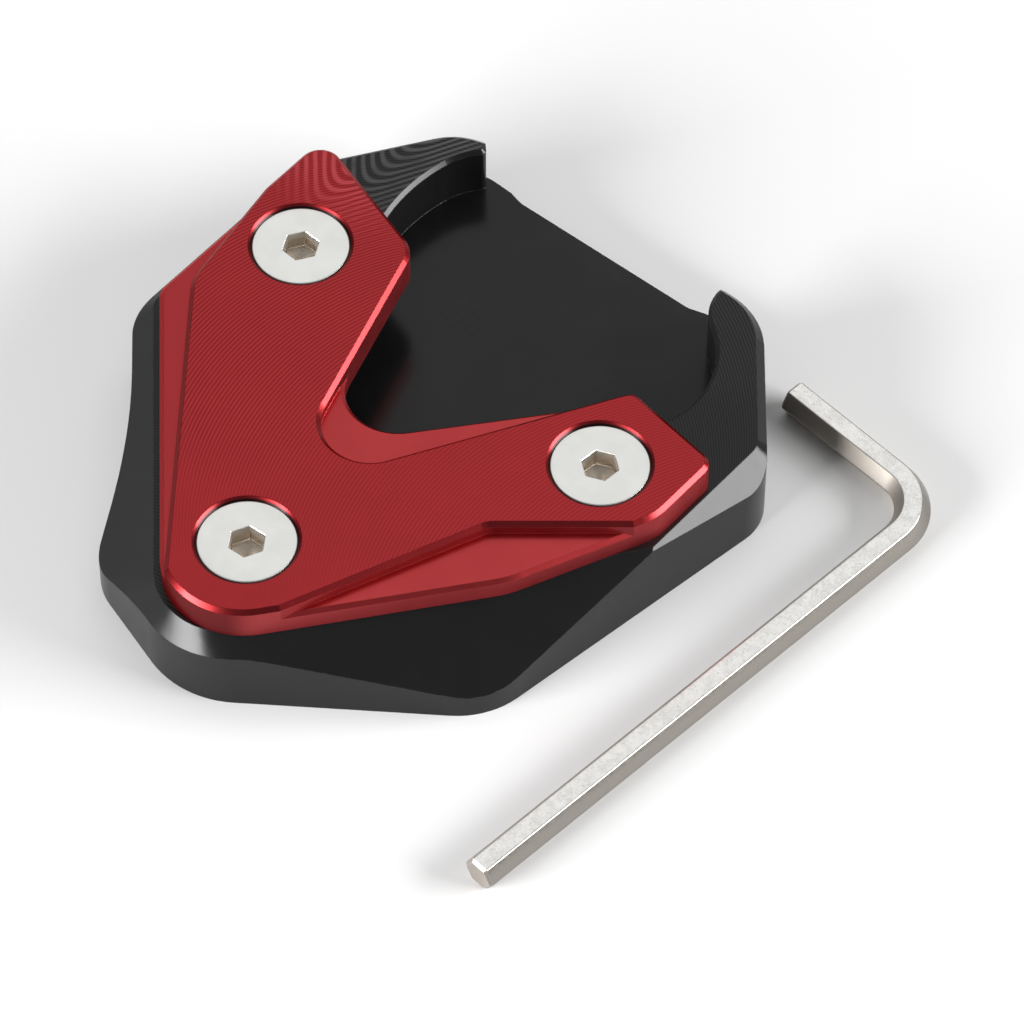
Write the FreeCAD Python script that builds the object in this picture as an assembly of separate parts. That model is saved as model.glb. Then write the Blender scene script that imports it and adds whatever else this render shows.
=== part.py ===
"""Foot pad that clamps onto the end of a motorcycle's side stand (kickstand).

A dark base plate stands on the ground. The stand's own foot drops into the pocket milled in the base,
and a red clamp plate, held by three countersunk screws, closes over it. A hex key for the screws lies
beside the pad. Millimetres, +Z up, ground at Z = 0, +Y towards the side the stand's leg comes in from.
"""

import math
import os

import FreeCAD
import Part

V = FreeCAD.Vector
UP = V(0, 0, 1)

# Heights above the ground
BASE_TOP = 11.0
POCKET_FLOOR = 3.8
CLAMP_TOP = 15.5
RECESS_FLOOR = 13.8

# Broken edges
CLAMP_BEVEL = 0.55
RECESS_BEVEL = 0.5
POCKET_BEVEL = 0.5

# M6 x 12 countersunk screws with hex sockets
SCREW_AT = {"rear": (-25.0, 10.5), "front": (0.0, -27.3), "right": (24.4, 8.3)}
SCREW_LENGTH = 12.0
SHANK_R = 3.0
HEAD_R = 6.0
HEAD_RIM = 0.1
HEAD_TOP = 15.15
SOCKET_AF = 4.04
SOCKET_DEPTH = 2.6
TIP_BEVEL = 0.7

# Holes for the screws
SINK_R = 6.5
CLAMP_HOLE_R = 3.2
BASE_HOLE_R = 3.05

# Hex key, lying flat on the ground
KEY_AF = 3.96
KEY_LONG = 76.5
KEY_SHORT = 24.0
KEY_BEND_R = 6.5
KEY_CORNER = (53.1, 37.3)
KEY_ANGLE = 84.3
KEY_END_BEVEL = 0.35

# Plan outline of the base's vertical wall: corner x, y and rounding radius, anticlockwise from above
BASE_WALL = [
    (1.6, -41.8, 12.8),
    (31.2, -20.1, 11.0),
    (38.2, 23.2, 7.0),
    (22.6, 41.75, 9.7),
    (14.0, 41.65, 3.0),
    (11.6, 40.9, 3.0),
    (-15.0, 40.35, 3.0),
    (-17.0, 40.85, 2.0),
    (-24.4, 41.0, 8.8),
    (-36.5, 22.9, 6.0),
    (-36.5, -7.8, 5.0),
    (-25.0, -20.6, 70.0),
    (-17.4, -35.85, 8.0),
]

# Sloping facets round the base's top: direction they face, distance out from the origin at the top,
# slope, and the rounding of the corner with the next facet at the top and at the ground
BASE_FACETS = [
    (-35.37, 25.41, 35.1, 0.0, 0.0),
    (0.0, 35.0, 45.0, 3.0, 14.0),
    (40.0, 43.05, 45.0, 8.5, 19.5),
    (91.2, 40.63, 45.0, 7.7, 18.7),
    (146.1, 41.95, 45.0, 0.0, 0.0),
    (180.0, 35.2, 45.0, 3.0, 14.0),
    (222.4, 29.55, 45.0, 9.0, 32.0),
]

# Pocket in the base: the left wall is a large arc that bends in at its tip, the heel and the right
# wall are smaller ones. Each arc is ((x, y), radius, start angle, end angle)
POCKET_LEFT = ((0.8, 29.03), 23.9, 166.0, 198.4)
POCKET_HEEL = ((-1.5, -5.0), 11.0, 198.5, 333.1)
POCKET_RIGHT = ((12.45, 25.47), 12.31, -26.9, 56.8)
POCKET_RIGHT_TIP = [(17.15, 37.75), (16.1, 40.4)]
POCKET_LEFT_BEND = ((-13.587, 32.614), 9.075, 137.4, 166.0)
POCKET_LEFT_TIP = ((-20.85, 39.3), 0.8, 45.0, -42.6)
MOUTH_RIGHT = [(16.05, 41.15), (16.65, 41.9), (16.65, 60.0)]
MOUTH_LEFT = [(-22.3, 60.0), (-22.3, 41.89)]

# Plan outline of the clamp, as for the base
CLAMP_WALL = [
    (0.8, -43.5, 10.0),
    (26.5, -10.9, 14.0),
    (34.5, 6.7, 8.0),
    (34.5, 17.4, 2.0),
    (20.56, 19.32, 1.5),
    (-4.85, -10.96, 6.5),
    (-14.0, 18.95, 4.0),
    (-34.35, 25.28, 2.65),
    (-34.35, -4.92, 2.5),
]

# Regions of the clamp's top milled down to the recess floor: corner x, y and rounding radius
RECESSES = [
    [(8.3, -35.5, 0), (20.15, -7.23, 3.0), (36.6, 6.78, 0), (50.0, -10.0, 0), (30.0, -50.0, 0)],
    [
        (-2.1, -40.0, 0),
        (-2.1, -60.0, 0),
        (-50.0, -60.0, 0),
        (-50.0, 20.0, 0),
        (-35.2, 20.0, 0),
        (-31.7, -2.0, 6.0),
    ],
    [(-2.288, -19.3348, 6.0), (22.0, 22.25, 0), (-14.0, 18.95, 0)],
]


def rounded_wire(corners, height):
    """Closed wire at one height whose corners (x, y, radius) are rounded by tangent arcs."""
    trims = []
    for i, (x, y, radius) in enumerate(corners):
        here = V(x, y, height)
        last = corners[i - 1]
        following = corners[(i + 1) % len(corners)]
        back = (V(last[0], last[1], height) - here).normalize()
        ahead = (V(following[0], following[1], height) - here).normalize()
        half = back.getAngle(ahead) / 2
        reach = radius / math.tan(half)
        middle = here + (back + ahead).normalize() * (radius / math.sin(half) - radius)
        trims.append((here + back * reach, middle, here + ahead * reach))
    edges = []
    for i, (start, middle, end) in enumerate(trims):
        if (end - start).Length > 1e-6:
            edges.append(Part.Arc(start, middle, end).toShape())
        edges.append(Part.makeLine(end, trims[(i + 1) % len(trims)][0]))
    return Part.Wire(edges)


def prism(wire, height):
    """Solid standing on a flat wire."""
    return Part.Face(wire).extrude(UP * height)


def point_on(circle, angle, height):
    """Point of a circle ((x, y), radius, ...) at an angle in degrees."""
    (x, y), radius = circle[:2]
    turn = math.radians(angle)
    return V(x + radius * math.cos(turn), y + radius * math.sin(turn), height)


def arc_of(circle, height):
    """Arc edge of ((x, y), radius, start angle, end angle)."""
    start, end = circle[2:]
    angles = (start, (start + end) / 2, end)
    return Part.Arc(*[point_on(circle, angle, height) for angle in angles]).toShape()


def edges_at(shape, height, wanted=lambda middle: True):
    """Edges lying flat at one height whose midpoints pass a test."""
    found = []
    for edge in shape.Edges:
        box = edge.BoundBox
        flat = abs(box.ZMin - height) < 1e-4 and abs(box.ZMax - height) < 1e-4
        middle = edge.valueAt((edge.FirstParameter + edge.LastParameter) / 2)
        if flat and wanted(middle):
            found.append(edge)
    return found


def facet_ring(height):
    """Corners of the sloping facets' section at one height."""
    drop = BASE_TOP - height
    lines = []
    for angle, distance, slope, top_round, ground_round in BASE_FACETS:
        turn = math.radians(angle)
        reach = distance + drop / math.tan(math.radians(slope))
        radius = top_round + (ground_round - top_round) * drop / BASE_TOP
        lines.append((math.cos(turn), math.sin(turn), reach, radius))
    corners = []
    for i, (ax, ay, a, radius) in enumerate(lines):
        bx, by, b, _ = lines[(i + 1) % len(lines)]
        cross = ax * by - ay * bx
        corners.append(((a * by - b * ay) / cross, (b * ax - a * bx) / cross, radius))
    return corners


def pocket_cutter():
    """Pocket for the stand's foot, open at the +Y side and above."""
    z = POCKET_FLOOR
    left, heel, right = (arc_of(circle, z) for circle in (POCKET_LEFT, POCKET_HEEL, POCKET_RIGHT))
    left_top = point_on(POCKET_LEFT, POCKET_LEFT[2], z)
    left_end = point_on(POCKET_LEFT, POCKET_LEFT[3], z)
    heel_start = point_on(POCKET_HEEL, POCKET_HEEL[2], z)
    heel_end = point_on(POCKET_HEEL, POCKET_HEEL[3], z)
    right_start = point_on(POCKET_RIGHT, POCKET_RIGHT[2], z)
    right_top = point_on(POCKET_RIGHT, POCKET_RIGHT[3], z)
    tip_middle, tip_end = (V(x, y, z) for x, y in POCKET_RIGHT_TIP)
    left_tip = arc_of(POCKET_LEFT_TIP, z)
    tip_start = point_on(POCKET_LEFT_TIP, POCKET_LEFT_TIP[2], z)
    tip_stop = point_on(POCKET_LEFT_TIP, POCKET_LEFT_TIP[3], z)
    edges = [left, Part.makeLine(left_end, heel_start), heel, Part.makeLine(heel_end, right_start), right]
    edges.append(Part.Arc(right_top, tip_middle, tip_end).toShape())
    rest = [tip_end] + [V(x, y, z) for x, y in MOUTH_RIGHT + MOUTH_LEFT] + [tip_start]
    edges += [Part.makeLine(a, b) for a, b in zip(rest, rest[1:])]
    bend_middle = point_on(POCKET_LEFT_BEND, sum(POCKET_LEFT_BEND[2:]) / 2, z)
    edges += [left_tip, Part.Arc(tip_stop, bend_middle, left_top).toShape()]
    return prism(Part.Wire(edges), BASE_TOP)


def make_base():
    """Base plate: bevelled slab with the pocket and three holes for the screws."""
    block = prism(rounded_wire(BASE_WALL, 0), BASE_TOP)
    rings = [rounded_wire(facet_ring(height), height) for height in (0.0, BASE_TOP)]
    base = block.common(Part.makeLoft(rings, True, True))
    base = base.cut(pocket_cutter())
    for x, y in SCREW_AT.values():
        base = base.cut(Part.makeCylinder(BASE_HOLE_R, BASE_TOP, V(x, y, 0)))
    pocket = pocket_cutter()
    rim = edges_at(base, BASE_TOP, lambda middle: pocket.distToShape(Part.Vertex(middle))[0] < 0.01)
    return base.makeChamfer(POCKET_BEVEL, rim).removeSplitter()


def make_clamp():
    """Clamp plate: bevelled plate with three shallow recesses in its top and three countersunk holes."""
    outline = rounded_wire(CLAMP_WALL, BASE_TOP)
    lower = prism(outline, RECESS_FLOOR - BASE_TOP)
    lower = lower.makeChamfer(RECESS_BEVEL, edges_at(lower, RECESS_FLOOR))
    upper = prism(outline, CLAMP_TOP - BASE_TOP)
    for region in RECESSES:
        upper = upper.cut(prism(rounded_wire(region, BASE_TOP), CLAMP_TOP))
    upper = upper.makeChamfer(CLAMP_BEVEL, edges_at(upper, CLAMP_TOP))
    clamp = lower.fuse(upper)
    depth = SINK_R - CLAMP_HOLE_R
    for x, y in SCREW_AT.values():
        clamp = clamp.cut(Part.makeCylinder(CLAMP_HOLE_R, CLAMP_TOP, V(x, y, 0)))
        clamp = clamp.cut(Part.makeCone(CLAMP_HOLE_R, SINK_R, depth, V(x, y, CLAMP_TOP - depth)))
    return clamp.removeSplitter()


def hexagon(flats, centre):
    """Face of a regular hexagon across given flats, flat sides facing +Y and -Y."""
    radius = flats / math.sqrt(3)
    turns = [math.radians(60 * i) for i in range(7)]
    points = [centre + V(radius * math.cos(turn), radius * math.sin(turn), 0) for turn in turns]
    return Part.Face(Part.makePolygon(points))


def make_screw(x, y):
    """Countersunk screw standing in its hole, drawn as one turned profile with a hex socket."""
    tip = HEAD_TOP - SCREW_LENGTH
    neck = HEAD_TOP - HEAD_RIM - (HEAD_R - SHANK_R)
    profile = [
        (0, tip),
        (SHANK_R - TIP_BEVEL, tip),
        (SHANK_R, tip + TIP_BEVEL),
        (SHANK_R, neck),
        (HEAD_R, HEAD_TOP - HEAD_RIM),
        (HEAD_R, HEAD_TOP),
        (0, HEAD_TOP),
        (0, tip),
    ]
    face = Part.Face(Part.makePolygon([V(r, 0, z) for r, z in profile]))
    body = face.revolve(V(0, 0, 0), UP, 360)
    socket = hexagon(SOCKET_AF, V(0, 0, HEAD_TOP - SOCKET_DEPTH)).extrude(UP * SOCKET_DEPTH)
    cone_depth = SOCKET_AF / 2 * math.tan(math.radians(30))
    bottom = Part.makeCone(0, SOCKET_AF / 2, cone_depth, V(0, 0, HEAD_TOP - SOCKET_DEPTH - cone_depth))
    screw = body.cut(socket).cut(bottom)
    screw.translate(V(x, y, 0))
    return screw


def make_key():
    """Hex key drawn with its corner at the origin and long arm towards -Y, then laid on the ground."""
    straight = KEY_LONG - KEY_BEND_R
    section = hexagon(KEY_AF, V(0, 0, 0))
    section.rotate(V(0, 0, 0), V(1, 0, 0), 90)
    section.translate(V(0, -KEY_BEND_R, 0))
    long_arm = section.extrude(V(0, -straight, 0))
    bend = section.revolve(V(-KEY_BEND_R, -KEY_BEND_R, 0), UP, 90)
    turned = section.copy()
    turned.rotate(V(-KEY_BEND_R, -KEY_BEND_R, 0), UP, 90)
    short_arm = turned.extrude(V(KEY_BEND_R - KEY_SHORT, 0, 0))
    key = long_arm.fuse([bend, short_arm]).removeSplitter()
    ends = [edge for edge in key.Edges if edge.BoundBox.YMax < 0.01 - KEY_LONG]
    ends += [edge for edge in key.Edges if edge.BoundBox.XMax < 0.01 - KEY_SHORT]
    key = key.makeChamfer(KEY_END_BEVEL, ends)
    key.rotate(V(0, 0, 0), UP, KEY_ANGLE - 90)
    key.translate(V(*KEY_CORNER, KEY_AF / 2))
    return key


def main():
    nodes = {"base_plate": make_base(), "clamp_plate": make_clamp(), "hex_key": make_key()}
    for name, (x, y) in SCREW_AT.items():
        nodes["screw_" + name] = make_screw(x, y)
    os.makedirs("parts", exist_ok=True)
    for name, shape in nodes.items():
        solid, = shape.Solids
        solid.exportStep("parts/" + name + ".step")
        print(name, "valid" if solid.isValid() else "BROKEN", "%.1f mm3" % solid.Volume)


main()
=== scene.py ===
"""Looks of the motorcycle side-stand foot pad.

A black anodised base plate, a red anodised clamp plate, three countersunk hex-socket screws and
the hex key lying beside them. Metres, +Z up, ground at Z = 0.
"""

import math

import bpy
from mathutils import Matrix, Vector


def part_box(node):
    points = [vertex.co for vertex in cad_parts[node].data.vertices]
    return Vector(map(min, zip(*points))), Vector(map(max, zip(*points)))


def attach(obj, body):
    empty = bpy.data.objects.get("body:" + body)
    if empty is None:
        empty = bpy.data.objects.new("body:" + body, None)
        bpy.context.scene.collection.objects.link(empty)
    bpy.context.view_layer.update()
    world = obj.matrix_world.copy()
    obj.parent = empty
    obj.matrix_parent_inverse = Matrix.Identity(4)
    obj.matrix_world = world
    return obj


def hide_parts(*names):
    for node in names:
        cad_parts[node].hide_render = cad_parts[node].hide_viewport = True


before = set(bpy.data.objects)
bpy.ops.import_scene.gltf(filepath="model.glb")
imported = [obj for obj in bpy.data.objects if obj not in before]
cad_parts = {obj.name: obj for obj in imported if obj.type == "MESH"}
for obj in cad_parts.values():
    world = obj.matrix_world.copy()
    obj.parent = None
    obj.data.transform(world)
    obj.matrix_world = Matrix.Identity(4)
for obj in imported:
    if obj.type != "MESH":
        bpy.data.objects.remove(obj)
bpy.context.view_layer.update()

MM = 0.001
MICROMETRE = 1e-6
TAU = 2 * math.pi

# Screws: one M6 x 1 countersunk screw, drawn from its head's top downwards
SEGMENTS = 96
HEAD_R = 6.0 * MM
HEAD_RIM = 0.1 * MM
CONE_START = HEAD_RIM + 0.08 * MM
RIM_ROUND = 0.22 * MM
RIM_DROP = RIM_ROUND * 0.75
RIM_STEPS = 4
HEAD_RINGS = (5.2 * MM, 4.2 * MM, 3.2 * MM, 2.7 * MM)
SHANK_R = 2.98 * MM
ROOT_R = 2.42 * MM
PITCH = 1.0 * MM
RINGS_PER_TURN = 14
THREAD_START = 0.75 * MM
THREAD_FADE = 0.6 * MM
CREST_WIDTH = 0.12
FLANK_WIDTH = 0.66
TIP_BEVEL = 0.7 * MM
TIP_FLAT = 0.02 * MM
SOCKET_AF = 4.04 * MM
SOCKET_DEPTH = 2.6 * MM
SOCKET_BREAK = 0.07 * MM
SOCKET_FLOOR_ROUND = 0.1 * MM
DRILL_RINGS = ((1.75 * MM, 0.03 * MM), (0.9 * MM, 0.5 * MM), (0.12 * MM, 0.94 * MM))
DRILL_DEPTH = 1.0 * MM

# Each screw's CAD node, its body, and how far its socket is turned, in degrees
SCREWS = (
    ("screw_rear", "rear_screw", 26.7),
    ("screw_front", "front_screw", -26.4),
    ("screw_right", "right_screw", -7.2),
)

# Hex key, with its corner at the origin and its long arm towards -Y before it is turned and moved
KEY_AF = 3.96 * MM
KEY_LONG = 76.5 * MM
KEY_SHORT = 24.0 * MM
KEY_BEND_R = 6.5 * MM
KEY_CORNER = (53.1 * MM, 37.3 * MM)
KEY_TURN = math.radians(84.3 - 90)
KEY_EDGE_ROUND = 0.32 * MM
KEY_END_BEVEL = 0.35 * MM
KEY_END_BAND = 0.6 * MM
KEY_END_SHRINK = 0.83
KEY_LONG_STEPS = 10
KEY_BEND_STEPS = 20
KEY_SHORT_STEPS = 5
KEY_CORNER_STEPS = 4

# How far a surface faces up, -1 to 1, where a level one and an upright one begin and are full
LEVEL = (0.985, 0.998)
UPRIGHT = (0.05, 0.01)

# Heights above the ground that the materials tell surfaces apart by, in millimetres
BASE_TOP = (10.7, 10.9)
POCKET_FLOOR = (4.2, 4.0)
CLAMP_TOP = (15.3, 15.42)
RIM_HEIGHT = (14.2, 14.6)

# Colours, linear
BASE_DARK = (0.0018, 0.0018, 0.0020, 1)
BASE_LIGHT = (0.0030, 0.0030, 0.0032, 1)
BASE_LINE = (0.050, 0.051, 0.053, 1)
BASE_BAND_SHEEN = (0.060, 0.060, 0.062, 1)
BASE_HAZE = (0.012, 0.012, 0.013, 1)
BASE_WEAR = (0.07, 0.07, 0.075, 1)
RED_RECESS_SHADED_LEFT = (0.275, 0.014, 0.017, 1)
RED_RECESS_LIT_RIGHT = (0.405, 0.034, 0.036, 1)
RED_RECESS_CLOUD = (0.300, 0.018, 0.021, 1)
RED_TOP = (0.290, 0.008, 0.011, 1)
RED_TOP_CLOUD = (0.265, 0.007, 0.010, 1)
RED_LINE_DARK = (0.120, 0.003, 0.005, 1)
RED_LINE_LIGHT = (0.50, 0.035, 0.042, 1)
RED_BAND_SHEEN = (0.62, 0.10, 0.12, 1)
RED_WEAR = (0.70, 0.18, 0.18, 1)
RED_BEVEL_LOW_LIT = (0.380, 0.030, 0.033, 1)
RED_BEVEL_TOP_SHADED = (0.170, 0.007, 0.009, 1)
RED_WALL_SHADED = (0.105, 0.002, 0.004, 1)
RED_WALL_LIT_RIGHT = (0.40, 0.045, 0.050, 1)
RED_GAP_SHADE = (0.012, 0.002, 0.002, 1)
RED_REFLECTION = (1.0, 0.30, 0.30, 1.0)
STEEL = (0.78, 0.78, 0.755, 1)
STEEL_CLOUD = (0.74, 0.74, 0.715, 1)
STEEL_SOCKET = (0.66, 0.57, 0.47, 1)
STEEL_WEAR = (0.80, 0.79, 0.78, 1)
NICKEL = (0.80, 0.79, 0.76, 1)
NICKEL_CLOUD = (0.69, 0.68, 0.65, 1)
NICKEL_PAINTED_GLINT = (0.95, 0.95, 0.94, 1)
NICKEL_PIT = (0.42, 0.41, 0.39, 1)
NICKEL_SIDE_SHADED = (0.42, 0.385, 0.345, 1)
NICKEL_SIDE_RIGHT_SHADED = (0.28, 0.260, 0.235, 1)
NICKEL_WEAR_AND_HIGHLIGHT = (0.93, 0.92, 0.89, 1)
FLOOR_LOW = (0.69, 0.69, 0.69, 1)
FLOOR_HIGH = (0.71, 0.71, 0.71, 1)

# Milling marks: radius of the cutter's path, centre across the feed, and feed, in millimetres
BASE_MARKS = (44.0, -1.2, 0.47)
POCKET_MARKS = (30.0, 18.0, 1.3)
CLAMP_MARKS = (40.0, -4.0, 0.485)

# Bands at the rear, bumped and painted lighter as a painted sheen of the milling marks, in
# millimetres: their two directions in plan, starts and spacings
BAND_U = (0.766, 0.643)
BAND_V = (0.514, 0.613)
BAND_START = (4.21, 30.17)
BAND_SLANT = 0.35
BAND_PITCH = (1.13, 0.65)
BAND_ROUNDING = 6.5

# Round a screw's axis, in millimetres: ring of painted shade in the clamp plate, socket's edge, and
# the spacing of the turning marks on the head
HEAD_GAP_SHADE = (6.34, 6.14)
SOCKET_TINT = (2.42, 2.36)
TURNING_PITCH = 0.21

# Lights: direction from the part; distance, width and height in metres; brightness of the face
LIGHTS = {
    "right_back": ((0.76, 0.52, 0.36), 1.0, 0.75, 0.40, 18.0),
    "overhead_back": ((-0.36, 0.48, 0.80), 1.2, 1.5, 1.1, 0.80),
    "left_front": ((-0.30, -0.91, 0.255), 0.9, 0.56, 0.38, 27.0),
}
WORLD_BRIGHTNESS = 0.24
FLOOR_SIZE = 3.0
FLOOR_DROP = 0.02 * MM

# Camera
CAMERA_AIM = Vector((0.0211, -0.0040, 0.0155))
CAMERA_DISTANCE = 0.7091
CAMERA_AZIMUTH = math.radians(40.0)
CAMERA_ELEVATION = math.radians(53.05)
CAMERA_ROLL = math.radians(0.37)
CAMERA_LENS = 211.4


# ---------------------------------------------------------------- meshes


def mesh_piece(name, verts, faces, smooth_angle=32.0):
    """New mesh object with smooth shading that breaks at sharp edges."""
    mesh = bpy.data.meshes.new(name)
    mesh.from_pydata(verts, [], faces)
    mesh.validate()
    mesh.polygons.foreach_set("use_smooth", [True] * len(mesh.polygons))
    mesh.set_sharp_from_angle(angle=math.radians(smooth_angle))
    mesh.update()
    piece = bpy.data.objects.new(name, mesh)
    bpy.context.scene.collection.objects.link(piece)
    return piece


def ring_faces(rings, segments):
    """Quads between successive rings of vertices, each ring closed."""
    faces = []
    for r in range(rings - 1):
        low = r * segments
        for s in range(segments):
            t = (s + 1) % segments
            faces.append((low + s, low + t, low + segments + t, low + segments + s))
    return faces


def thread_depth(turn):
    """Depth of the thread below its crest, 0 to 1, at a fraction of a turn."""
    ramp = abs((turn % 1.0) - 0.5) * 2
    return min(1.0, max(0.0, (ramp - CREST_WIDTH) / FLANK_WIDTH))


def screw_mesh(name, top, turn):
    """Countersunk screw with a hex socket and a helical thread, its head's top at top."""
    length = top.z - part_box(name)[0].z
    neck = -(HEAD_RIM + HEAD_R - SHANK_R)
    angles = [TAU * s / SEGMENTS for s in range(SEGMENTS)]
    rings = []

    def ring(radius, height):
        """One ring of points; the radius is a number or a function of the angle."""
        rings.append([(radius(a) if callable(radius) else radius, height) for a in angles])

    # shank, from the tip up
    ring(SHANK_R - TIP_BEVEL, -length)
    count = int(round((length + neck) / PITCH * RINGS_PER_TURN))
    start = -length + TIP_FLAT
    for i in range(count + 1):
        z = start + (neck - start) * i / count

        def radius(a, z=z):
            """Distance from the axis to the thread's surface at an angle."""
            depth = thread_depth(z / PITCH - a / TAU)
            below_head = min(1.0, max(0.0, (neck - THREAD_START - z) / THREAD_FADE))
            tip_limit = SHANK_R - TIP_BEVEL + max(0.0, z + length)
            return min(tip_limit, SHANK_R - (SHANK_R - ROOT_R) * depth * below_head)

        ring(radius, z)
    # head: cone, rim and rounded upper edge
    ring(HEAD_R, -CONE_START)
    ring(HEAD_R, -RIM_DROP)
    for k in range(1, RIM_STEPS + 1):
        a = math.pi / 2 * k / RIM_STEPS
        ring(HEAD_R - RIM_ROUND * (1 - math.cos(a)), -RIM_DROP * (1 - math.sin(a)))
    for head_radius in HEAD_RINGS:
        ring(head_radius, 0.0)

    def hexagon(a):
        """Distance from the axis to the socket's wall at an angle."""
        local = (a + math.pi / 6) % (math.pi / 3) - math.pi / 6
        return SOCKET_AF / 2 / math.cos(local)

    ring(lambda a: hexagon(a) + SOCKET_BREAK, 0.0)
    ring(hexagon, -SOCKET_BREAK)
    ring(hexagon, -SOCKET_DEPTH * 0.5)
    ring(hexagon, -SOCKET_DEPTH + SOCKET_FLOOR_ROUND)
    ring(lambda a: hexagon(a) - SOCKET_FLOOR_ROUND, -SOCKET_DEPTH)
    for drill_radius, below_floor in DRILL_RINGS:
        ring(drill_radius, -SOCKET_DEPTH - below_floor)

    place = Matrix.Translation(top) @ Matrix.Rotation(math.radians(turn), 4, "Z")
    verts = []
    for points in rings:
        for a, (r, z) in zip(angles, points):
            verts.append(place @ Vector((r * math.cos(a), r * math.sin(a), z)))
    faces = ring_faces(len(rings), SEGMENTS)
    tip = len(verts)
    verts.append(place @ Vector((0, 0, -length)))
    bottom = len(verts)
    verts.append(place @ Vector((0, 0, -SOCKET_DEPTH - DRILL_DEPTH)))
    last = (len(rings) - 1) * SEGMENTS
    for s in range(SEGMENTS):
        t = (s + 1) % SEGMENTS
        faces.append((tip, t, s))
        faces.append((bottom, last + s, last + t))
    return mesh_piece(name.replace("screw", "hex_screw"), verts, faces, 28.0)


def key_section():
    """Outline of the key's hexagonal bar with rounded corners: sideways and upwards."""
    corner = KEY_AF / math.sqrt(3)
    inset = KEY_EDGE_ROUND / math.cos(math.pi / 6)
    outline = []
    for i in range(6):
        middle = math.pi / 3 * i
        centre = Vector((math.cos(middle), math.sin(middle))) * (corner - inset)
        for k in range(KEY_CORNER_STEPS + 1):
            a = middle + math.pi / 6 * (k / KEY_CORNER_STEPS * 2 - 1)
            outline.append(centre + Vector((math.cos(a), math.sin(a))) * KEY_EDGE_ROUND)
    return outline


def key_mesh():
    """Hex key swept along its two straight arms and bend, with bevelled ends."""
    outline = key_section()
    count = len(outline)
    ends = ((0.0, KEY_END_SHRINK), (KEY_END_BEVEL, 1.0), (KEY_END_BAND, 1.0))
    stations = []
    towards_bend = Vector((0, 1, 0))
    for inset, shrink in ends:
        stations.append((Vector((0, inset - KEY_LONG, 0)), towards_bend, shrink))
    for k in range(1, KEY_LONG_STEPS):
        y = -KEY_LONG + (KEY_LONG - KEY_BEND_R) * k / KEY_LONG_STEPS
        stations.append((Vector((0, y, 0)), towards_bend, 1.0))
    hub = Vector((-KEY_BEND_R, -KEY_BEND_R, 0))
    for k in range(KEY_BEND_STEPS + 1):
        a = math.pi / 2 * k / KEY_BEND_STEPS
        out = Vector((math.cos(a), math.sin(a), 0))
        stations.append((hub + out * KEY_BEND_R, Vector((-out.y, out.x, 0)), 1.0))
    from_bend = Vector((-1, 0, 0))
    for k in range(1, KEY_SHORT_STEPS):
        x = -KEY_BEND_R - (KEY_SHORT - KEY_BEND_R) * k / KEY_SHORT_STEPS
        stations.append((Vector((x, 0, 0)), from_bend, 1.0))
    for inset, shrink in reversed(ends):
        stations.append((Vector((inset - KEY_SHORT, 0, 0)), from_bend, shrink))
    corner = Vector((*KEY_CORNER, KEY_AF / 2))
    place = Matrix.Translation(corner) @ Matrix.Rotation(KEY_TURN, 4, "Z")
    verts = []
    for centre, heading, shrink in stations:
        side = Vector((heading.y, -heading.x, 0))
        for u, v in outline:
            verts.append(place @ (centre + side * (u * shrink) + Vector((0, 0, v * shrink))))
    faces = ring_faces(len(stations), count)
    faces.append(tuple(reversed(range(count))))
    last = (len(stations) - 1) * count
    faces.append(tuple(range(last, last + count)))
    return mesh_piece("hex_wrench", verts, faces, 26.0)


# ---------------------------------------------------------------- materials


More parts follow.
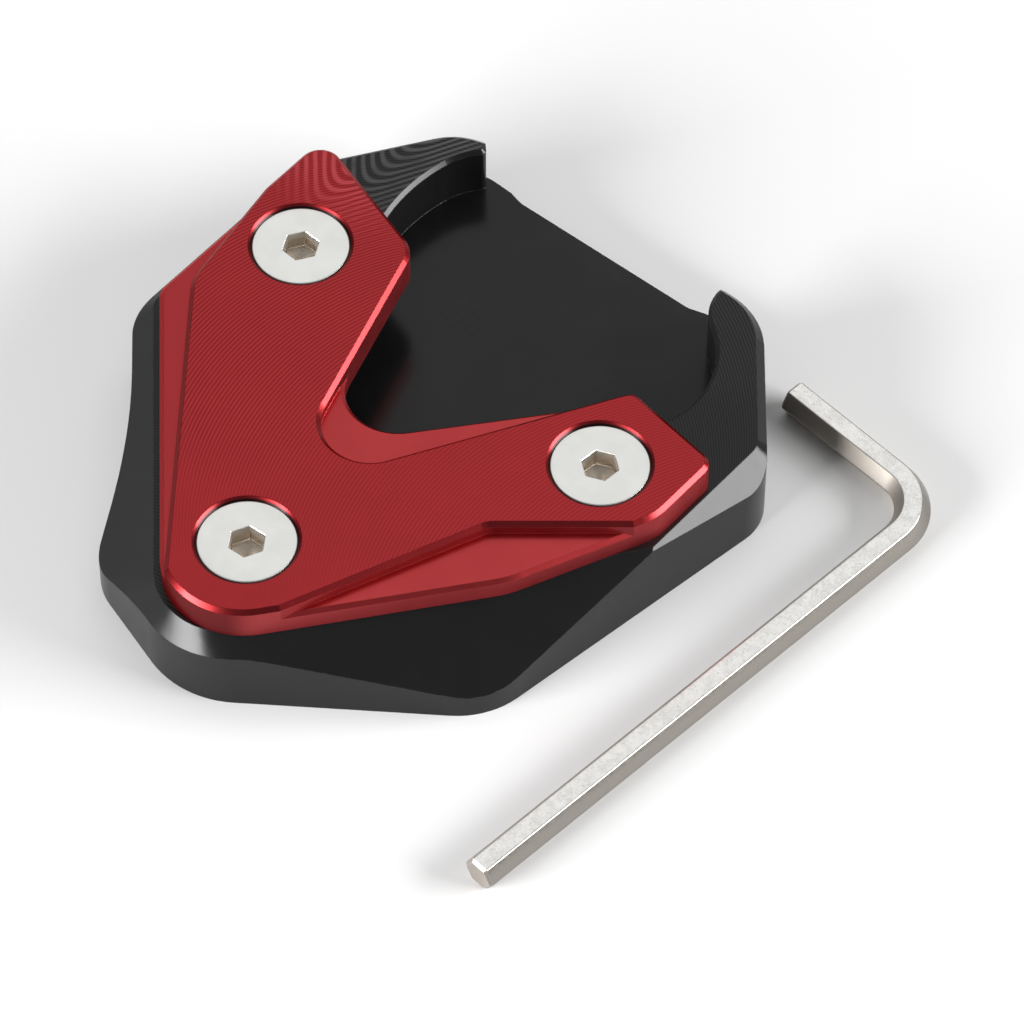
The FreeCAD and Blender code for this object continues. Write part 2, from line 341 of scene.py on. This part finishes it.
class Nodes:
    """Short way of writing a material's node tree."""

    def __init__(self, name):
        self.material = bpy.data.materials.new(name)
        self.material.use_nodes = True
        self.tree = self.material.node_tree
        self.tree.nodes.clear()
        self.shader = self.add("ShaderNodeBsdfPrincipled")
        output = self.add("ShaderNodeOutputMaterial")
        self.tree.links.new(self.shader.outputs["BSDF"], output.inputs["Surface"])

    def add(self, kind, **settings):
        node = self.tree.nodes.new(kind)
        for key, value in settings.items():
            setattr(node, key, value)
        return node

    def put(self, socket, value):
        if isinstance(value, bpy.types.NodeSocket):
            self.tree.links.new(value, socket)
        else:
            socket.default_value = value

    def math(self, operation, a, b=0.0, c=0.0):
        node = self.add("ShaderNodeMath", operation=operation)
        for socket, value in zip(node.inputs, (a, b, c)):
            self.put(socket, value)
        return node.outputs[0]

    def ramp(self, value, low, high, start=0.0, end=1.0):
        node = self.add("ShaderNodeMapRange", interpolation_type="SMOOTHSTEP")
        names = ("Value", "From Min", "From Max", "To Min", "To Max")
        for name, what in zip(names, (value, low, high, start, end)):
            self.put(node.inputs[name], what)
        return node.outputs["Result"]

    def blend(self, factor, a, b):
        node = self.add("ShaderNodeMix", data_type="FLOAT")
        self.put(node.inputs[0], factor)
        self.put(node.inputs[2], a)
        self.put(node.inputs[3], b)
        return node.outputs[0]

    def colour(self, factor, a, b, how="MIX"):
        node = self.add("ShaderNodeMix", data_type="RGBA", blend_type=how)
        self.put(node.inputs[0], factor)
        self.put(node.inputs[6], a)
        self.put(node.inputs[7], b)
        return node.outputs[2]

    def place(self):
        """Position on the part, in millimetres, as three sockets."""
        where = self.add("ShaderNodeTexCoord").outputs["Object"]
        scaled = self.add("ShaderNodeVectorMath", operation="SCALE")
        self.put(scaled.inputs[0], where)
        scaled.inputs["Scale"].default_value = 1.0 / MM
        self.position = scaled.outputs[0]
        split = self.add("ShaderNodeSeparateXYZ")
        self.put(split.inputs[0], self.position)
        return split.outputs[0], split.outputs[1], split.outputs[2]

    def facing(self):
        """How far the surface faces +X, smoothed over curves, and +Z, not smoothed; -1 to 1."""
        geometry = self.add("ShaderNodeNewGeometry")
        smooth = self.add("ShaderNodeSeparateXYZ")
        self.put(smooth.inputs[0], geometry.outputs["Normal"])
        true = self.add("ShaderNodeSeparateXYZ")
        self.put(true.inputs[0], geometry.outputs["True Normal"])
        return smooth.outputs[0], true.outputs[2]

    def noise(self, scale, detail=2.0, stretch=(1, 1, 1), rough=0.5):
        node = self.add("ShaderNodeTexNoise")
        if stretch == (1, 1, 1):
            self.put(node.inputs["Vector"], self.position)
        else:
            mapping = self.add("ShaderNodeMapping")
            self.put(mapping.inputs["Vector"], self.position)
            mapping.inputs["Scale"].default_value = stretch
            self.put(node.inputs["Vector"], mapping.outputs[0])
        node.inputs["Scale"].default_value = scale
        node.inputs["Detail"].default_value = detail
        node.inputs["Roughness"].default_value = rough
        return node.outputs[0]

    def soft_edges(self, radius):
        """Normal rounded over the edges, radius in millimetres, and a mask that is 1 on them."""
        bevel = self.add("ShaderNodeBevel", samples=6)
        bevel.inputs["Radius"].default_value = radius * MM
        dot = self.add("ShaderNodeVectorMath", operation="DOT_PRODUCT")
        self.put(dot.inputs[0], bevel.outputs[0])
        self.put(dot.inputs[1], self.add("ShaderNodeNewGeometry").outputs["Normal"])
        return bevel.outputs[0], self.ramp(dot.outputs["Value"], 0.995, 0.9)

    def bump(self, height, micrometres, normal):
        node = self.add("ShaderNodeBump")
        node.inputs["Strength"].default_value = 1.0
        node.inputs["Distance"].default_value = micrometres * MICROMETRE
        self.put(node.inputs["Height"], height)
        self.put(node.inputs["Normal"], normal)
        return node.outputs[0]

    def distance(self, x, y, centre):
        """Distance in plan from the vertical axis through a point, in millimetres."""
        dx = self.math("SUBTRACT", x, centre.x / MM)
        dy = self.math("SUBTRACT", y, centre.y / MM)
        square = self.math("ADD", self.math("MULTIPLY", dx, dx), self.math("MULTIPLY", dy, dy))
        return self.math("SQRT", square)

    def arcs(self, along, across, radius, centre, pitch, jitter):
        """Face-mill marks: circles of one radius stepped along a line by the feed, -1 to 1."""
        offset = self.math("SUBTRACT", across, centre)
        inside = self.math("SUBTRACT", radius * radius, self.math("MULTIPLY", offset, offset))
        bow = self.math("SQRT", self.math("MAXIMUM", inside, 1.0))
        phase = self.math("DIVIDE", self.math("ADD", along, bow), pitch)
        phase = self.math("ADD", phase, self.math("MULTIPLY", jitter, 0.5))
        return self.math("SINE", self.math("MULTIPLY", phase, TAU))


def overlap_bands(n, x, y):
    """Broad bands at the rear, nested like rounded angles, of uneven strength, -1 to 1; the
    materials bump them and paint them lighter as a painted sheen.

    u runs towards +X and +Y, v towards -X and +Y.
    """
    u = n.math("ADD", n.math("MULTIPLY", x, BAND_U[0]), n.math("MULTIPLY", y, BAND_U[1]))
    v = n.math("SUBTRACT", n.math("MULTIPLY", y, BAND_V[1]), n.math("MULTIPLY", x, BAND_V[0]))
    u = n.math("ADD", u, BAND_START[0])
    v = n.math("SUBTRACT", v, BAND_START[1])
    v = n.math("SUBTRACT", v, n.math("MULTIPLY", u, BAND_SLANT))
    u = n.math("DIVIDE", u, BAND_PITCH[0])
    v = n.math("DIVIDE", v, BAND_PITCH[1])
    step = n.math("SMOOTH_MIN", u, v, BAND_ROUNDING)
    wobble = n.math("MULTIPLY", n.noise(0.25, 1.0), 2.0)
    strength = n.ramp(n.noise(0.35, 1.0), 0.3, 0.6, 0.45, 1.0)
    wave = n.math("SINE", n.math("ADD", n.math("MULTIPLY", step, TAU), wobble))
    return n.math("MULTIPLY", wave, strength)


def anodised_base():
    """Black anodised milled aluminium, with bands at the rear painted lighter as a painted sheen,
    and rougher slopes facing -X.
    """
    n = Nodes("black_anodised")
    x, y, z = n.place()
    right, up = n.facing()
    level = n.ramp(up, *LEVEL)
    top = n.math("MULTIPLY", level, n.ramp(z, *BASE_TOP))
    floor = n.math("MULTIPLY", level, n.ramp(z, *POCKET_FLOOR))
    wall = n.ramp(n.math("ABSOLUTE", up), *UPRIGHT)
    normal, edge = n.soft_edges(0.16)

    cloud = n.noise(0.09, 3.0)
    grain = n.noise(6.0, 3.0)
    slow = n.noise(0.35, 2.0)

    negative_y = n.math("MULTIPLY", y, -1.0)
    marks = n.arcs(negative_y, x, *BASE_MARKS, n.noise(0.05, 1.0))
    rear = n.math("MULTIPLY", n.ramp(x, -5.0, -12.0), n.ramp(y, 12.0, 22.0))
    rear = n.math("MULTIPLY", rear, top)
    wave = overlap_bands(n, x, y)
    bands = n.math("MULTIPLY", wave, rear)
    lines = n.math("MULTIPLY", marks, n.math("MULTIPLY", top, n.blend(rear, 0.8, 1.0)))

    swirl = n.arcs(x, y, *POCKET_MARKS, n.noise(0.2, 2.0))
    swirl = n.math("MULTIPLY", swirl, n.ramp(n.noise(0.12, 2.0), 0.52, 0.72))
    swirls = n.math("MULTIPLY", n.math("MULTIPLY", swirl, floor), 0.06)
    upright = n.noise(1.0, 2.0, (1.4, 1.4, 0.03))
    upright = n.math("MULTIPLY", n.math("MULTIPLY", upright, wall), 0.9)
    rest = n.math("ADD", upright, n.math("MULTIPLY", grain, 0.08))
    height = n.math("ADD", n.math("ADD", lines, swirls), rest)
    height = n.math("ADD", height, n.math("MULTIPLY", bands, 0.9))
    normal = n.bump(height, 8.0, normal)

    shade = n.colour(n.ramp(cloud, 0.3, 0.7), BASE_DARK, BASE_LIGHT)
    tone = n.ramp(n.math("MULTIPLY", lines, 0.25), -0.2, 1.0)
    shade = n.colour(tone, shade, BASE_LINE)
    # Lighter bands at the rear: painted sheen of the milling marks.
    band_sheen = n.math("MULTIPLY", n.ramp(wave, -0.5, 0.9), rear)
    shade = n.colour(band_sheen, shade, BASE_BAND_SHEEN)
    haze = n.math("MULTIPLY", n.ramp(n.noise(0.16, 4.0, rough=0.6), 0.42, 0.70), floor)
    shade = n.colour(n.math("MULTIPLY", haze, 0.30), shade, BASE_HAZE)
    trace = n.math("MULTIPLY", n.ramp(swirl, 0.3, 1.0), floor)
    shade = n.colour(n.math("MULTIPLY", trace, 0.30), shade, BASE_HAZE)
    wear = n.math("MULTIPLY", edge, n.ramp(n.noise(1.2, 4.0), 0.42, 0.66))
    shade = n.colour(n.math("MULTIPLY", wear, 0.5), shade, BASE_WEAR)
    n.put(n.shader.inputs["Base Color"], shade)
    outward = n.math("MULTIPLY", n.ramp(right, -0.25, -0.5), n.ramp(up, 0.97, 0.90))
    rough = n.blend(outward, 0.20, 0.50)
    rough = n.blend(top, rough, 0.32)
    rough = n.blend(wall, rough, 0.30)
    rough = n.math("ADD", rough, n.math("MULTIPLY", n.math("SUBTRACT", slow, 0.5), 0.08))
    n.put(n.shader.inputs["Roughness"], rough)
    n.shader.inputs["Metallic"].default_value = 0.0
    n.shader.inputs["IOR"].default_value = 1.32
    n.put(n.shader.inputs["Normal"], normal)
    return n.material


def anodised_clamp(heads):
    """Red anodised milled aluminium: metal seen through a red film.

    Painted light makes walls facing +X, recesses towards +X and low bevels lighter; painted shade
    makes it dark round the screw heads and darker on bevels at the top edge. Bands at the rear are
    a painted sheen.
    """
    n = Nodes("red_anodised")
    x, y, z = n.place()
    right, up = n.facing()
    level = n.ramp(up, *LEVEL)
    top = n.math("MULTIPLY", level, n.ramp(z, *CLAMP_TOP))
    wall = n.ramp(n.math("ABSOLUTE", up), *UPRIGHT)
    normal, edge = n.soft_edges(0.14)

    cloud = n.noise(0.08, 3.0)
    grain = n.noise(7.0, 3.0)
    slow = n.noise(0.3, 2.0)
    # Painted shade: a dark ring in the gap round each screw head.
    gap_shade = 0.0
    for centre in heads:
        gap_shade = n.math("MAXIMUM", gap_shade, n.ramp(n.distance(x, y, centre), *HEAD_GAP_SHADE))

    marks = n.arcs(x, y, *CLAMP_MARKS, n.noise(0.04, 1.0))
    fade = n.ramp(y, -30.0, -14.0, 0.35, 1.0)
    left = n.math("MULTIPLY", n.ramp(x, 8.0, -20.0, 0.45, 1.0), fade)
    lines = n.math("MULTIPLY", marks, n.math("MULTIPLY", top, left))
    rear = n.math("MULTIPLY", n.ramp(x, -14.0, -26.0), n.ramp(y, 13.0, 22.0))
    rear = n.math("MULTIPLY", rear, top)
    wave = overlap_bands(n, x, y)
    bands = n.math("MULTIPLY", wave, rear)
    upright = n.noise(1.0, 2.0, (1.5, 1.5, 0.03))
    upright = n.math("MULTIPLY", n.math("MULTIPLY", upright, wall), 0.4)
    height = n.math("ADD", n.math("ADD", lines, upright), n.math("MULTIPLY", grain, 0.08))
    height = n.math("ADD", height, n.math("MULTIPLY", bands, 0.5))
    normal = n.bump(height, 7.0, normal)

    # Recess floors: painted light, lighter towards +X.
    smooth = n.colour(n.ramp(x, -18.0, 4.0), RED_RECESS_SHADED_LEFT, RED_RECESS_LIT_RIGHT)
    smooth = n.colour(n.math("MULTIPLY", n.ramp(cloud, 0.35, 0.65), 0.4), smooth, RED_RECESS_CLOUD)
    milled = n.colour(n.ramp(cloud, 0.3, 0.7), RED_TOP, RED_TOP_CLOUD)
    shade = n.colour(top, smooth, milled)
    # The dark and light line tones carry the milling marks and, through the bands, a painted sheen.
    tone = n.math("ADD", lines, n.math("MULTIPLY", bands, 0.6))
    shade = n.colour(n.ramp(tone, -0.1, -1.0, 0.0, 0.35), shade, RED_LINE_DARK)
    shade = n.colour(n.ramp(tone, -1.0, 1.0, 0.0, 0.48), shade, RED_LINE_LIGHT)
    # Lighter bands at the rear: painted sheen of the milling marks.
    band_sheen = n.math("MULTIPLY", n.ramp(wave, -0.5, 0.9), rear)
    shade = n.colour(n.math("MULTIPLY", band_sheen, 0.45), shade, RED_BAND_SHEEN)
    wear = n.math("MULTIPLY", edge, n.ramp(n.noise(1.1, 4.0), 0.40, 0.66))
    shade = n.colour(n.math("MULTIPLY", wear, 0.25), shade, RED_WEAR)
    # Bevels: painted shade darkens those at the top edge, painted light lightens those low down at
    # the recess floors.
    bevel = n.math("MULTIPLY", n.ramp(up, 0.97, 0.90), n.ramp(up, 0.05, 0.2))
    bevel_light_and_shade = n.colour(n.ramp(z, *RIM_HEIGHT), RED_BEVEL_LOW_LIT, RED_BEVEL_TOP_SHADED)
    shade = n.colour(n.math("MULTIPLY", bevel, 0.9), shade, bevel_light_and_shade)
    # Walls: painted light, lighter where they face +X; darker elsewhere as painted shade.
    side = n.colour(n.ramp(right, 0.45, 0.85), RED_WALL_SHADED, RED_WALL_LIT_RIGHT)
    shade = n.colour(n.math("MULTIPLY", wall, 0.9), shade, side)
    shade = n.colour(gap_shade, shade, RED_GAP_SHADE)
    n.put(n.shader.inputs["Base Color"], shade)
    rough = n.blend(n.ramp(up, 0.99, 0.90), 0.33, 0.46)
    rough = n.blend(bevel, rough, 0.34)
    rough = n.blend(top, rough, 0.38)
    rough = n.math("ADD", rough, n.math("MULTIPLY", n.math("SUBTRACT", slow, 0.5), 0.10))
    n.put(n.shader.inputs["Roughness"], rough)
    n.shader.inputs["Metallic"].default_value = 1.0
    n.shader.inputs["Specular Tint"].default_value = RED_REFLECTION
    n.shader.inputs["Coat Weight"].default_value = 0.3
    n.shader.inputs["Coat Roughness"].default_value = 0.22
    n.shader.inputs["Coat IOR"].default_value = 1.5
    n.put(n.shader.inputs["Normal"], normal)
    n.put(n.shader.inputs["Coat Normal"], normal)
    return n.material


def screw_steel(top):
    """Satin steel, turned in fine rings on the head, with a browner socket."""
    n = Nodes("satin_steel_%d" % round(top.x * 1e4))
    x, y, z = n.place()
    radius = n.distance(x, y, top)
    depth = n.math("SUBTRACT", top.z / MM, z)
    head = n.math("MULTIPLY", n.ramp(n.facing()[1], 0.9, 0.98), n.ramp(depth, 0.3, 0.2))
    inside = n.math("MULTIPLY", n.ramp(depth, 0.25, 1.6), n.ramp(radius, *SOCKET_TINT))
    normal, edge = n.soft_edges(0.07)

    wobble = n.noise(0.5, 1.0)
    phase = n.math("MULTIPLY", radius, TAU / TURNING_PITCH)
    phase = n.math("ADD", phase, n.math("MULTIPLY", wobble, 4.0))
    turning = n.math("SINE", phase)
    broad = n.noise(0.3, 2.0)
    fine = n.noise(9.0, 3.0)
    turning = n.math("MULTIPLY", n.math("MULTIPLY", turning, head), 0.6)
    height = n.math("ADD", turning, n.math("MULTIPLY", fine, 0.5))
    normal = n.bump(height, 0.8, normal)

    shade = n.colour(n.ramp(broad, 0.3, 0.7), STEEL, STEEL_CLOUD)
    shade = n.colour(n.math("MULTIPLY", inside, 0.8), shade, STEEL_SOCKET)
    shade = n.colour(n.math("MULTIPLY", edge, 0.35), shade, STEEL_WEAR)
    n.put(n.shader.inputs["Base Color"], shade)
    rough = n.math("ADD", 0.36, n.math("MULTIPLY", n.math("SUBTRACT", broad, 0.5), 0.06))
    rough = n.blend(inside, rough, 0.5)
    n.put(n.shader.inputs["Roughness"], rough)
    n.shader.inputs["Metallic"].default_value = 1.0
    n.put(n.shader.inputs["Normal"], normal)
    return n.material


def nickel_plate():
    """Nickel-plated steel: flat top with painted glints; plainer sides in painted shade, darker and
    smoother towards +X.
    """
    n = Nodes("nickel_plate")
    n.place()
    right, up = n.facing()
    flat = n.ramp(up, 0.80, 0.97)
    outer = n.ramp(right, 0.2, 0.6)
    normal, edge = n.soft_edges(0.05)
    peel = n.noise(0.9, 2.0)
    speck = n.noise(3.2, 2.0)
    glint = n.noise(9.0, 1.0)
    texture = n.math("ADD", n.math("MULTIPLY", peel, 1.2), n.math("MULTIPLY", speck, 0.5))
    height = n.math("MULTIPLY", texture, n.blend(flat, 0.35, 1.0))
    normal = n.bump(height, 1.3, normal)
    shade = n.colour(n.ramp(peel, 0.35, 0.65), NICKEL, NICKEL_CLOUD)
    # Painted glints on the flat top.
    painted_glint = n.math("MULTIPLY", n.ramp(glint, 0.50, 0.66), flat)
    shade = n.colour(n.math("MULTIPLY", painted_glint, 0.75), shade, NICKEL_PAINTED_GLINT)
    pit = n.math("MULTIPLY", n.ramp(speck, 0.56, 0.70), flat)
    shade = n.colour(n.math("MULTIPLY", pit, 0.30), shade, NICKEL_PIT)
    # Sides: painted shade, darker than the top and darker still towards +X.
    side = n.colour(outer, NICKEL_SIDE_SHADED, NICKEL_SIDE_RIGHT_SHADED)
    shade = n.colour(flat, side, shade)
    # Lighter edges: wear and a painted highlight.
    shade = n.colour(n.math("MULTIPLY", edge, 0.8), shade, NICKEL_WEAR_AND_HIGHLIGHT)
    n.put(n.shader.inputs["Base Color"], shade)
    rough = n.blend(flat, n.blend(outer, 0.48, 0.20), 0.32)
    n.put(n.shader.inputs["Roughness"], n.math("ADD", rough, n.ramp(speck, 0.3, 0.7, -0.02, 0.03)))
    n.shader.inputs["Metallic"].default_value = 1.0
    n.put(n.shader.inputs["Normal"], normal)
    return n.material


def floor_paint():
    """Plain pale floor."""
    n = Nodes("pale_floor")
    n.place()
    tone = n.colour(n.noise(0.01, 2.0), FLOOR_LOW, FLOOR_HIGH)
    n.put(n.shader.inputs["Base Color"], tone)
    n.shader.inputs["Roughness"].default_value = 0.9
    n.shader.inputs["Specular IOR Level"].default_value = 0.1
    return n.material


def finish_node(node, material):
    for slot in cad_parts[node].material_slots:
        slot.material = material


# ---------------------------------------------------------------- pieces

finish_node("base_plate", anodised_base())

heads = []
for node, body, turn in SCREWS:
    low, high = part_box(node)
    head = Vector(((low.x + high.x) / 2, (low.y + high.y) / 2, high.z))
    heads.append(head)
    piece = screw_mesh(node, head, turn)
    piece.data.materials.append(screw_steel(head))
    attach(piece, body)
    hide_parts(node)

finish_node("clamp_plate", anodised_clamp(heads))

wrench = key_mesh()
wrench.data.materials.append(nickel_plate())
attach(wrench, "key")
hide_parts("hex_key")


# ---------------------------------------------------------------- stage


def stage_floor():
    size = FLOOR_SIZE
    verts = [(-size, -size, 0), (size, -size, 0), (size, size, 0), (-size, size, 0)]
    floor = mesh_piece("floor", verts, [(0, 1, 2, 3)])
    floor.location.z = -FLOOR_DROP
    floor.data.materials.append(floor_paint())


def softbox(name, direction, distance, width, height, radiance):
    """Rectangular soft light aimed at the part, given the brightness of its face."""
    data = bpy.data.lights.new(name, "AREA")
    data.shape = "RECTANGLE"
    data.size = width
    data.size_y = height
    data.energy = radiance * math.pi * width * height
    light = bpy.data.objects.new(name, data)
    bpy.context.scene.collection.objects.link(light)
    way = Vector(direction).normalized()
    light.location = CAMERA_AIM + way * distance
    light.rotation_euler = way.to_track_quat("Z", "Y").to_euler()


def set_world(level):
    world = bpy.data.worlds.new("studio")
    world.use_nodes = True
    background = world.node_tree.nodes["Background"]
    background.inputs["Color"].default_value = (1.0, 1.0, 1.0, 1)
    background.inputs["Strength"].default_value = level
    bpy.context.scene.world = world


def set_camera():
    data = bpy.data.cameras.new("camera")
    data.sensor_width = 36.0
    data.lens = CAMERA_LENS
    data.clip_start = 0.01
    data.clip_end = 20.0
    camera = bpy.data.objects.new("camera", data)
    bpy.context.scene.collection.objects.link(camera)
    flat = math.cos(CAMERA_ELEVATION)
    back = Vector(
        (
            math.sin(CAMERA_AZIMUTH) * flat,
            -math.cos(CAMERA_AZIMUTH) * flat,
            math.sin(CAMERA_ELEVATION),
        )
    )
    camera.location = CAMERA_AIM + back * CAMERA_DISTANCE
    aim = back.to_track_quat("Z", "Y").to_matrix().to_4x4()
    camera.rotation_euler = (aim @ Matrix.Rotation(CAMERA_ROLL, 4, "Z")).to_euler()
    bpy.context.scene.camera = camera


stage_floor()
set_world(WORLD_BRIGHTNESS)
for name, settings in LIGHTS.items():
    softbox(name, *settings)
set_camera()
bpy.context.scene.view_settings.view_transform = "Standard"
bpy.context.scene.view_settings.look = "None"

bpy.context.view_layer.update()
